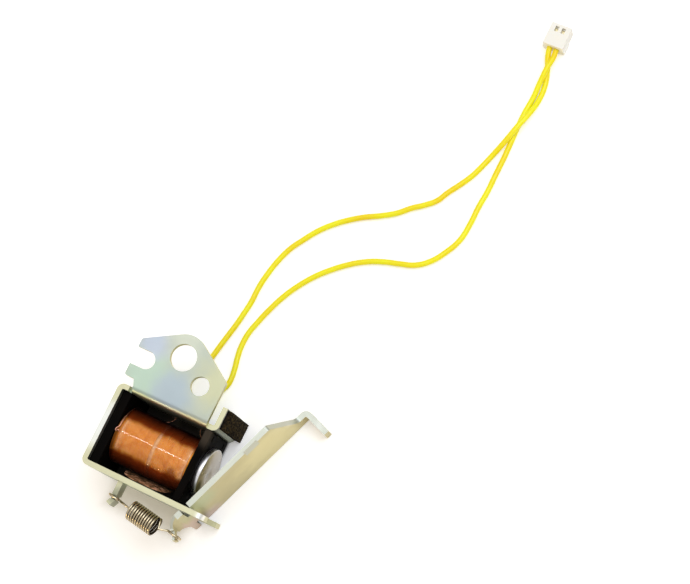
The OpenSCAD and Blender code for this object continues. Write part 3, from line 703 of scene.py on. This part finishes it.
# Bobbin: moulded in black plastic, with two flanges, a tube and two slits where the wire goes out.
# It is a close fit between the yoke's legs, and its front flange has a paler brown patch of painted
# light near the upper leg.
BLACK = (0.001, 0.0008, 0.0008, 1)
BLACK_MOTTLE = (0.004, 0.0028, 0.002, 1)
FLANGE_PAINTED_LIGHT = (((0.045, 0.036, 0.028, 1), (11.7, -12.3, -0.5), 3),)


def base_colour(material):
    """A finished material's tree, its base colour socket and the output that feeds it."""
    tree = material.node_tree
    shader = next(node for node in tree.nodes if node.type == "BSDF_PRINCIPLED")
    socket = shader.inputs["Base Color"]
    return tree, socket, socket.links[0].from_socket


black = moulding("black_moulding", BLACK, BLACK_MOTTLE, roughness=0.55, grain_mm=0.01,
                 Specular_IOR_Level=0.03)
tree, socket, plain = base_colour(black)
# The front flange's patch of painted light.
tree.links.new(bloomed(tree, plain, FLANGE_PAINTED_LIGHT), socket)
cad_piece("bobbin_moulding", "bobbin", black, edge_mm=0.12)


# Winding: enamelled copper wire, wound turn beside turn, with the last layer a little uneven.
# A sleeve under it stands for the layers that don't show. Between the legs its sides are painted in
# shade, from deep red to nearly black, and so is its end beside the rear flange.
TURNS = 86
WIRE_D = 0.2
WOUND_FROM = 2.05
WOUND_TO = 19.35
WOUND_R = 6.0
SLEEVE_R = 3.95, 5.7, 5.82
SLEEVE_EDGE = 0.15
UNEVENNESS = 0.03
COPPER = ((0.3, (0.78, 0.22, 0.02, 1)), (0.52, (1.0, 0.40, 0.045, 1)), (0.75, (1.0, 0.52, 0.09, 1)))
STREAK = (((0.56, 0.16, 0.015, 1), (7.6, -21.9, -2.4), 1.2),
          ((0.50, 0.13, 0.012, 1), (8.1, -22.6, -2.9), 1.2))
SIDE_SHADE_RED = (0.37, 0.055, 0.003, 1)
SIDE_SHADE_BLACK = (0.012, 0.0006, 0.0003, 1)
TOP_MIDDLE_Y = -19.1
SIDE_FROM, SIDE_TO = 2.7, 3.9
BLACK_FROM, BLACK_TO = 3.3, 6.0
REAR_END_FROM, REAR_END_TO, REAR_END_SHADE = 2.6, 3.4, 0.8
CREASE = 1.2


def ramp(tree, value, stops):
    """A colour ramp through (position, colour) stops."""
    made = add_node(tree, "ShaderNodeValToRGB", {0: value})
    elements = made.color_ramp.elements
    while len(elements) < len(stops):
        elements.new(0.5)
    for element, (position, colour) in zip(elements, stops):
        element.position = position
        element.color = colour
    return made.outputs[0]


def coil_side(tree, spot):
    """1 at the coil's sides and beside the rear flange, 0 on its top, and the colour of the painted
    shade there.
    """
    place = split(tree, spot)
    aside = calc(tree, "ABSOLUTE", calc(tree, "SUBTRACT", place["Y"], TOP_MIDDLE_Y * MM))
    creased = fine_noise(tree, vector_calc(tree, "MULTIPLY", spot, (1, 0.1, 0.1)), 0.4, 2)
    creased = calc(tree, "MULTIPLY", calc(tree, "SUBTRACT", creased, 0.5), CREASE * MM)
    aside = calc(tree, "ADD", aside, creased)
    side = map_range(tree, aside, SIDE_FROM * MM, SIDE_TO * MM, smooth=True)
    beyond = map_range(tree, aside, BLACK_FROM * MM, BLACK_TO * MM)
    behind = map_range(tree, place["X"], (REAR.x + REAR_END_FROM) * MM,
                       (REAR.x + REAR_END_TO) * MM, REAR_END_SHADE, 0.0)
    dark = mix_colour(tree, calc(tree, "MAXIMUM", beyond, behind), SIDE_SHADE_RED, SIDE_SHADE_BLACK)
    return calc(tree, "MAXIMUM", side, behind), dark


copper, tree, inputs = finish("enamelled_copper", Metallic=0.55, Specular_IOR_Level=0.1,
                              Coat_Roughness=0.15)
spot = shaded_spot(tree)
shade = fine_noise(tree, vector_calc(tree, "MULTIPLY", spot, (1, 0.06, 0.06)), 1.3, 4)
# The coil's sides and its end beside the rear flange are painted in shade.
side, dark = coil_side(tree, spot)
on_top = calc(tree, "SUBTRACT", 1.0, side)
streaked = bloomed(tree, ramp(tree, shade, COPPER), STREAK)
feed(tree, inputs, Base_Color=mix_colour(tree, side, streaked, dark),
     Coat_Weight=calc(tree, "MULTIPLY", on_top, 0.4),
     Roughness=map_range(tree, shade, 0.3, 0.7, 0.38, 0.26))

wire_tree, sizes = new_tree("wound_wire", "Turns", "Wire", "Radius", "Length", "Unevenness")
tree = wire_tree
inset = calc(tree, "ADD", calc(tree, "MULTIPLY", sizes["Wire"], 0.5), sizes["Unevenness"])
coil_r = calc(tree, "SUBTRACT", sizes["Radius"], inset)
inputs = {"Resolution": 48, "Rotations": sizes["Turns"], "Height": sizes["Length"],
          "Start Radius": coil_r, "End Radius": coil_r}
helix = add_node(tree, "GeometryNodeCurveSpiral", inputs).outputs[0]
here = add_node(tree, "GeometryNodeInputPosition").outputs[0]
outward = vector_calc(tree, "NORMALIZE", vector_calc(tree, "MULTIPLY", here, (1, 1, 0)))
lumps = calc(tree, "SUBTRACT", fine_noise(tree, here, 0.5, 2), 0.5)
push = calc(tree, "MULTIPLY", calc(tree, "MULTIPLY", lumps, 2.0), sizes["Unevenness"])
helix = moved(tree, helix, Offset=vector_calc(tree, "SCALE", outward, push))
close_tree(tree, swept(tree, helix, sizes["Wire"], sides=6), copper)
wound = grow(wire_tree, Turns=float(TURNS), Wire=WIRE_D * MM, Radius=WOUND_R * MM,
             Unevenness=UNEVENNESS * MM, Length=(WOUND_TO - WOUND_FROM - WIRE_D) * MM)
first_turn = Matrix.Translation(((WOUND_FROM + WIRE_D / 2) * MM, 0, 0))
wound.transform(first_turn @ Matrix.Rotation(pi / 2, 4, "Y"))
bore, shoulder, outside = SLEEVE_R
sleeve = ((WOUND_FROM, bore), (WOUND_FROM, shoulder), (WOUND_FROM + SLEEVE_EDGE, outside),
          (WOUND_TO - SLEEVE_EDGE, outside), (WOUND_TO, shoulder), (WOUND_TO, bore),
          (WOUND_FROM, bore))
coil_mesh = joined(wound, lathe(sleeve, 64, copper))
new_piece("wound_coil", onto_coil(coil_mesh), "coil_winding")


# Tape: clear film in two strips that overlap half way along the coil, with slightly crumpled edges.
# Each strip laps over its own start, and one end has come loose and stands up beside the lower leg.
FILM_T = 0.03
FILM = ((0.35, (0.78, 0.28, 0.04, 1)), (0.6, (1.0, 0.46, 0.10, 1)))
FILM_HAZE = (0.95, 0.72, 0.58, 1)
FLAP = ((0.38, (0.10, 0.05, 0.015, 1)), (0.5, (0.42, 0.19, 0.08, 1)), (0.62, (0.85, 0.45, 0.28, 1)))
FILM_MIDDLE = 11
HAZY_FROM, HAZY_TO = 6.4, 8.2
OVERLAP_MIDDLE = 11.25
OVERLAP_FULL, OVERLAP_TO = 0.3, 0.5
SIDE_FILM = 0.2
LOOSE_X = (6, 16.8)
LOOSE_LEN = 5.8
LOOSE_TURN = 108.9
LOOSE_CORNER = 3.4
LOOSE_R = 6.09
LOOSE_WAVE = 0.02
FILM_RISE = 0.035
FILM_WAVE = 0.006
FRILL = 0.12
FRILL_FROM, FRILL_RISE = 0.8, 5
film, tree, inputs = finish("clear_film", Coat_Roughness=0.04)
spot = shaded_spot(tree)
place = split(tree, spot)


def from_coil_x(along):
    """How far the shaded point is from a distance along the coil, either way."""
    return calc(tree, "ABSOLUTE", calc(tree, "SUBTRACT", place["X"], (REAR.x + along) * MM))


haze = fine_noise(tree, spot, 0.8, 4)
clouded = map_range(tree, haze, 0.4, 0.8, 0.24, 0.38, smooth=True)
ends = map_range(tree, from_coil_x(FILM_MIDDLE), HAZY_FROM * MM, HAZY_TO * MM, 0.0, 0.3,
                 smooth=True)
lap = map_range(tree, from_coil_x(OVERLAP_MIDDLE), OVERLAP_FULL * MM, OVERLAP_TO * MM, 0.28, 0.0)
loose = add_node(tree, "ShaderNodeAttribute", attribute_name="loose").outputs["Fac"]
raised = map_range(tree, place["Z"], (REAR.z - 1) * MM, (REAR.z + 3) * MM, 0.1, 0.9)
# The film over the coil's sides takes the same painted shade.
side, dark = coil_side(tree, spot)
on_top = calc(tree, "SUBTRACT", 1.0, side)
wrapped = mix_colour(tree, calc(tree, "ADD", ends, lap), ramp(tree, haze, FILM), FILM_HAZE)
wrapped = mix_colour(tree, side, bloomed(tree, wrapped, STREAK), dark)
covered = calc(tree, "MULTIPLY", calc(tree, "ADD", calc(tree, "ADD", clouded, ends), lap),
               calc(tree, "MAXIMUM", on_top, SIDE_FILM))
feed(tree, inputs, Base_Color=mix_colour(tree, loose, wrapped, ramp(tree, haze, FLAP)),
     Alpha=calc(tree, "MAXIMUM", covered, calc(tree, "MULTIPLY", loose, raised)),
     Coat_Weight=on_top,
     Roughness=calc(tree, "MAXIMUM", calc(tree, "MULTIPLY", side, 0.7),
                    calc(tree, "MULTIPLY", haze, 0.3)),
     Normal=bump(tree, fine_noise(tree, spot, 1.6), 0.012))


def film_sheet(name, rows):
    """A mesh of film through rows of points in millimetres."""
    shape = bmesh.new()
    grid = [[shape.verts.new(Vector(point) * MM) for point in row] for row in rows]
    for low, high in zip(grid, grid[1:]):
        for k in range(len(low) - 1):
            shape.faces.new((low[k], high[k], high[k + 1], low[k + 1])).smooth = True
    return closed(shape, name, film)


def film_strip(start, end, radius, seam, lap, seed, around=144, across=24):
    """A strip of film round the coil between two distances along it, lapped at the seam's angle."""
    rows = []
    for i in range(around + 1):
        share = i / around
        angle = radians(seam) + (tau + lap) * share
        row = []
        for k in range(across + 1):
            wave = noise.noise(Vector((3 * cos(angle) + seed, 3 * sin(angle), 5 * k / across)))
            frill = max(0, abs(2 * k / across - 1) - FRILL_FROM) * FRILL_RISE
            far_edge = 2.0 * (k > across / 2)
            edge = noise.noise(Vector((5 * cos(angle), 5 * sin(angle) + seed, far_edge)))
            x = start + (end - start) * k / across + FRILL * edge * frill
            r = radius + FILM_RISE * share + FILM_WAVE * wave
            row.append((x, r * cos(angle), r * sin(angle)))
        rows.append(row)
    return film_sheet("film_strip", rows)


def loose_end(across=24, up=10):
    """The tape's loose end: a flat flap with round corners that leaves the coil at a tangent."""
    rows = []
    for i in range(across + 1):
        x = LOOSE_X[0] + (LOOSE_X[1] - LOOSE_X[0]) * i / across
        inset = max(0, LOOSE_CORNER - min(x - LOOSE_X[0], LOOSE_X[1] - x))
        top = LOOSE_LEN - LOOSE_CORNER + max(0, LOOSE_CORNER ** 2 - inset ** 2) ** 0.5
        rows.append([(x, top * k / up, LOOSE_R + LOOSE_WAVE * noise.noise(Vector((x, k, 0))))
                     for k in range(up + 1)])
    made = film_sheet("loose_end", rows)
    for mark in made.attributes.new("loose", "FLOAT", "FACE").data:
        mark.value = 1.0
    made.transform(Matrix.Rotation(radians(LOOSE_TURN), 4, "X"))
    return made


tape_mesh = joined(loose_end(), film_strip(3.15, 11.6, radius=6.05, seam=250, lap=0.5, seed=1),
                   film_strip(10.9, 19.0, radius=6.075, seam=230, lap=0.4, seed=7))
tape_mesh = modified(onto_coil(tape_mesh), "SOLIDIFY", thickness=FILM_T * MM, offset=-1)
new_piece("tape_wrap", tape_mesh, "coil_tape")


# Tails: the magnet wire's ends come out at the two ends of the coil, run down round it and go
# through the yoke's notches to the solder joints. Their enamel is pinker than the coil looks under
# its tape. Angles are in degrees about the coil's axis.
PINK_ENAMEL = (0.86, 0.42, 0.30, 1)
DEEP_ENAMEL = (0.72, 0.30, 0.18, 1)
TAIL_D = 0.2
FOOT = -50
FOOT_STEPS = 12
NOTCH = (7.35, -6.85)
SPLICE_END = (9.27, -6.85)
START_CURL = ((3.2, 93, 6.2), (2.8, 89, 6.4), (2.3, 92, 6.35), (2.2, 87, 6.25))
START = {"along": 2.5, "radius": 6.13, "first": 82, "splice_x": 8.0, "curl": START_CURL}
FINISH = {"along": 18.8, "radius": 6.28, "first": 20, "splice_x": 14.3, "curl": ()}
enamel = bright_metal("pink_enamel", PINK_ENAMEL, DEEP_ENAMEL, roughness=0.25, depth_mm=0.002)
tail_tree, sizes = new_tree("drawn_wire", "Wire")
close_tree(tail_tree, swept(tail_tree, sizes["Geometry"], sizes["Wire"], sides=10), enamel)


def tail(along, radius, first, splice_x, curl):
    """A tail's mesh: its curl, its way down round the coil, and its end in the splice."""
    turns = list(curl)
    for i in range(FOOT_STEPS + 1):
        turns.append((along, first + (FOOT - first) * i / FOOT_STEPS, radius))
    points = [Vector((x, r * cos(radians(a)), r * sin(radians(a)))) for x, a, r in turns]
    inside = Vector((splice_x, *NOTCH))
    points += [points[-1].lerp(inside, 0.5), inside, Vector((splice_x, *SPLICE_END))]
    return onto_coil(grow(tail_tree, path_curve("tail", points, steps=6), Wire=TAIL_D * MM))


new_piece("wire_start", tail(**START), "start_tail")
new_piece("wire_finish", tail(**FINISH), "finish_tail")


# Solder joints: a small drawn-out drop of solder round each lead's strands, where the magnet wire
# is soldered to them.
SOLDER = (0.72, 0.72, 0.72, 1)
DULL_SOLDER = (0.60, 0.60, 0.61, 1)
DROP_OUTLINE = ((0, 0), (0, 0.33), (0.02, 0.40), (0.25, 0.45), (0.7, 0.44), (1.1, 0.40), (1.3, 0.3),
                (1.38, 0.16), (1.4, 0))
solder = bright_metal("bright_solder", SOLDER, DULL_SOLDER, roughness=0.28, depth_mm=0.02)
for number, splice in zip((1, 2), SPLICES):
    drop = lathe(DROP_OUTLINE, 32, solder)
    drop.transform(Matrix.Translation(Vector(splice) * MM) @ Matrix.Rotation(-pi / 2, 4, "Z"))
    new_piece(f"solder_drop_{number}", drop, f"solder_joint_{number}")


# Stop pad: a block of black open-cell foam, cut with a knife and stuck on the tab with adhesive.
# Its cells are pits in the surface, finer than half a millimetre.
CELL = 0.42
PIT_DEPTH = 0.16
SOOT = ((0.42, (0.006, 0.004, 0.002, 1)), (0.62, (0.085, 0.056, 0.020, 1)))
SHADE_BESIDE_TAB = (0.002, 0.0015, 0.0015, 1)
TAB_SHADE_FROM, TAB_SHADE_TO = 0.2, 1.5
GLUE = (0.30, 0.28, 0.24, 1)
PALE_GLUE = (0.42, 0.40, 0.35, 1)
pad_low, pad_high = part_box("stop_pad")
foam, tree, inputs = finish("black_foam", Specular_IOR_Level=0.1)
spot = shaded_spot(tree)
mottle = fine_noise(tree, spot, 2.2, 4)
# Painted shade: the foam goes near black beside the tab and clears within a millimetre and a half of
# it.
from_tab = map_range(tree, split(tree, spot)["X"], pad_low.x + TAB_SHADE_FROM * MM,
                     pad_low.x + TAB_SHADE_TO * MM)
feed(tree, inputs, Base_Color=mix_colour(tree, from_tab, SHADE_BESIDE_TAB, ramp(tree, mottle, SOOT)),
     Roughness=map_range(tree, mottle, 0.3, 0.7, 0.95, 0.75),
     Normal=bump(tree, fine_noise(tree, spot, 7), 0.05))


def gridded_block(name, low, high, cell):
    """A block whose six faces are grids of squares about as large as a cell."""
    size = high - low
    counts = [max(2, round(length / cell)) for length in size]
    shape = bmesh.new()
    for axis in range(3):
        u, v = (axis + 1) % 3, (axis + 2) % 3
        for end in (0, 1):
            grid = []
            for i in range(counts[u] + 1):
                row = []
                for k in range(counts[v] + 1):
                    share = [0.0] * 3
                    share[axis], share[u], share[v] = end, i / counts[u], k / counts[v]
                    at = [start + span * s for start, span, s in zip(low, size, share)]
                    row.append(shape.verts.new(at))
                grid.append(row)
            for near, far in zip(grid, grid[1:]):
                for k in range(counts[v]):
                    shape.faces.new((near[k], far[k], far[k + 1], near[k + 1]))
    bmesh.ops.remove_doubles(shape, verts=shape.verts, dist=1e-7)
    bmesh.ops.recalc_face_normals(shape, faces=shape.faces)
    return closed(shape, name)


foam_tree, sizes = new_tree("foam_cells", "Cell", "Depth")
tree = foam_tree
inputs = {"Mesh": sizes["Geometry"], "Level": 2}
fine = add_node(tree, "GeometryNodeSubdivideMesh", inputs).outputs[0]
here = add_node(tree, "GeometryNodeInputPosition").outputs[0]
facing = add_node(tree, "GeometryNodeInputNormal").outputs[0]
inputs = {"Vector": here, "Scale": calc(tree, "DIVIDE", 1.0, sizes["Cell"])}
cells = add_node(tree, "ShaderNodeTexVoronoi", inputs)
pits = map_range(tree, cells.outputs["Distance"], 0.15, 0.55, 1.0, 0.0, smooth=True)
ragged = calc(tree, "MULTIPLY", calc(tree, "ADD", pits, fine_noise(tree, here, 1.1, 2)), -0.5)
sunk = vector_calc(tree, "SCALE", facing, calc(tree, "MULTIPLY", ragged, sizes["Depth"]))
close_tree(tree, moved(tree, fine, Offset=sunk), foam)
pad_mesh = grow(foam_tree, gridded_block("pad_block", pad_low, pad_high, CELL * MM), Cell=CELL * MM,
                Depth=PIT_DEPTH * MM)
pad = new_piece("foam_pad", pad_mesh, "stop_pad")

glue, tree, inputs = finish("film_adhesive")
spot = shaded_spot(tree)
feed(tree, inputs, Base_Color=mix_colour(tree, fine_noise(tree, spot, 1.5), GLUE, PALE_GLUE),
     Roughness=map_range(tree, fine_noise(tree, spot, 3), 0.3, 0.7, 0.4, 0.6))
cad_piece("adhesive_film", "pad_adhesive", glue, edge_mm=0.02, segments=1)


# Armature: a clapper of 1.2 mm plated sheet whose tongue sits in the yoke's fork, with a slanted
# shoulder, an arm with a bent lip, and a tail that curls out to a finger for the spring. Its
# plating is straw coloured with pink patches.
HINGE = Vector((13.7, -27.3, 0))
OPEN = radians(20.5)
FACE = Vector((cos(OPEN), -sin(OPEN), 0))
ALONG = Vector((sin(OPEN), cos(OPEN), 0))
LIP_FROM = 29.6
TAIL_FROM = -2.25
SHOULDER_FROM, SHOULDER_TO = 16.3, 20
STRAW = (0.55, 0.485, 0.255, 1)
STRAW_DRIFT = (0.60, 0.53, 0.29, 1)
STRAW_EDGE = (0.60, 0.61, 0.52, 1)
STRAW_BLOOMS = (((0.50, 0.515, 0.29, 1), (15.7, -25.4, -2.5), 6),
                ((0.64, 0.50, 0.41, 1), (15.4, -26.3, -13.5), 4.5),
                ((0.66, 0.52, 0.43, 1), (14.1, -29.6, -11), 5),
                ((0.72, 0.645, 0.35, 1), (22, -8, -9), 11))
# A painted highlight, near white, on the armature's lip.
STRAW_PAINTED_HIGHLIGHT = (((0.88, 0.89, 0.86, 1), (27.5, -0.3, -7), 4.5),)


def armature_cut(at, normal):
    """True on the rims of the lip and tail, on the slanted shoulder, and on the edges between."""
    reach = (at - HINGE).dot(ALONG)
    if reach > LIP_FROM or reach < TAIL_FROM:
        return abs(normal.z) > 0.3
    if SHOULDER_FROM < reach < SHOULDER_TO and normal.z > 0.15:
        return True
    return abs(normal.dot(FACE)) < 0.5


straw_zinc = plated_sheet("straw_zinc", STRAW, STRAW_DRIFT, STRAW_BLOOMS, STRAW_EDGE, STRAW_PAINTED_HIGHLIGHT,
                          stretch=(1, 0.08, 1), roughness=0.36)
cad_piece("armature_stamping", "armature", straw_zinc, edge_mm=0.1,
          is_cut=armature_cut, body="clapper")


# Return spring: drawn steel wire, close wound, with a hook at each end round the waists of the lug
# and the finger. The wire is dark where the turns hide it.
SPRING_WIRE = 0.5
SPRING_R = 1.9
SPRING_TURNS = 11
SPRING_LEN = 6.2
TURN_STEPS = 32
HOOK_R = 1.4
HOOK_LEG = 0.3
ARC_A, ARC_B = range(40, 341, 10), range(200, 501, 10)
HOOK_A = Vector((-0.55, -31.25, -2.6))
HOOK_B = Vector((14.184, -32.835, -2.6))
COIL_ENDS = Vector((-0.55, -31.35, -2.6)), Vector((14.484, -33.735, -2.6))
COIL_SHIFT = 0.2
ENTRY, ENTRY_BEND = 0.7, 0.3
SPRING_STEEL = (0.80, 0.68, 0.46, 1)
DULL_STEEL = (0.46, 0.36, 0.22, 1)
SHADE_BETWEEN_TURNS = (0.05, 0.035, 0.018, 1)
BRIGHT_FROM, BRIGHT_OVER = 1.96, 0.16
spring_steel = bright_metal("drawn_spring_wire", SPRING_STEEL, DULL_STEEL, roughness=0.22,
                            depth_mm=0.003)
# Painted shade: the wire is painted near black where the turns hide it.
tree, socket, plain = base_colour(spring_steel)
bright = add_node(tree, "ShaderNodeAttribute", attribute_name="clear_of_turn_shade").outputs["Fac"]
tree.links.new(mix_colour(tree, bright, SHADE_BETWEEN_TURNS, plain), socket)
pull = (COIL_ENDS[1] - COIL_ENDS[0]).normalized()
across = Vector((-pull.y, pull.x, 0))
up = Vector((0, 0, 1))
middle = (COIL_ENDS[0] + COIL_ENDS[1]) / 2 - COIL_SHIFT * pull
half = SPRING_LEN / 2


def on_spring(along, out, angle):
    return middle + along * pull + out * (cos(angle) * across + sin(angle) * up)


def on_hook(centre, degrees):
    return centre + HOOK_R * (cos(radians(degrees)) * pull + sin(radians(degrees)) * up)


steps = SPRING_TURNS * TURN_STEPS
leg_a = HOOK_A + (HOOK_R + HOOK_LEG) * pull
leg_b = HOOK_B - (HOOK_R + HOOK_LEG) * pull
points = [on_hook(HOOK_A, degrees) for degrees in ARC_A]
points += [leg_a, on_spring(-half - ENTRY, 0, 0), on_spring(-half - ENTRY_BEND, SPRING_R / 2, 0)]
points += [on_spring(-half + SPRING_LEN * i / steps, SPRING_R, tau * i / TURN_STEPS)
           for i in range(steps + 1)]
points += [on_spring(half + ENTRY_BEND, SPRING_R / 2, 0), on_spring(half + ENTRY, 0, 0), leg_b]
points += [on_hook(HOOK_B, degrees) for degrees in ARC_B]
spring_tree, sizes = new_tree("coiled_wire", "Wire")
coiled = swept(spring_tree, sizes["Geometry"], sizes["Wire"], sides=12)
close_tree(spring_tree, coiled, spring_steel)
spring_mesh = grow(spring_tree, path_curve("spring", points), Wire=SPRING_WIRE * MM)
# Marks 1 on the wire's outer side and on the hooks, 0 on its inner side, for the painted shade
# between the turns.
marks = spring_mesh.attributes.new("clear_of_turn_shade", "FLOAT", "POINT")
for vertex, mark in zip(spring_mesh.vertices, marks.data):
    off = vertex.co / MM - middle
    along = off.dot(pull)
    outer = ((off - along * pull).length - BRIGHT_FROM) / BRIGHT_OVER
    mark.value = 1.0 if abs(along) > half + ENTRY_BEND else min(1, max(0, outer))
spring = new_piece("spring_wire", spring_mesh, "return_spring", body=None)
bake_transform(spring)
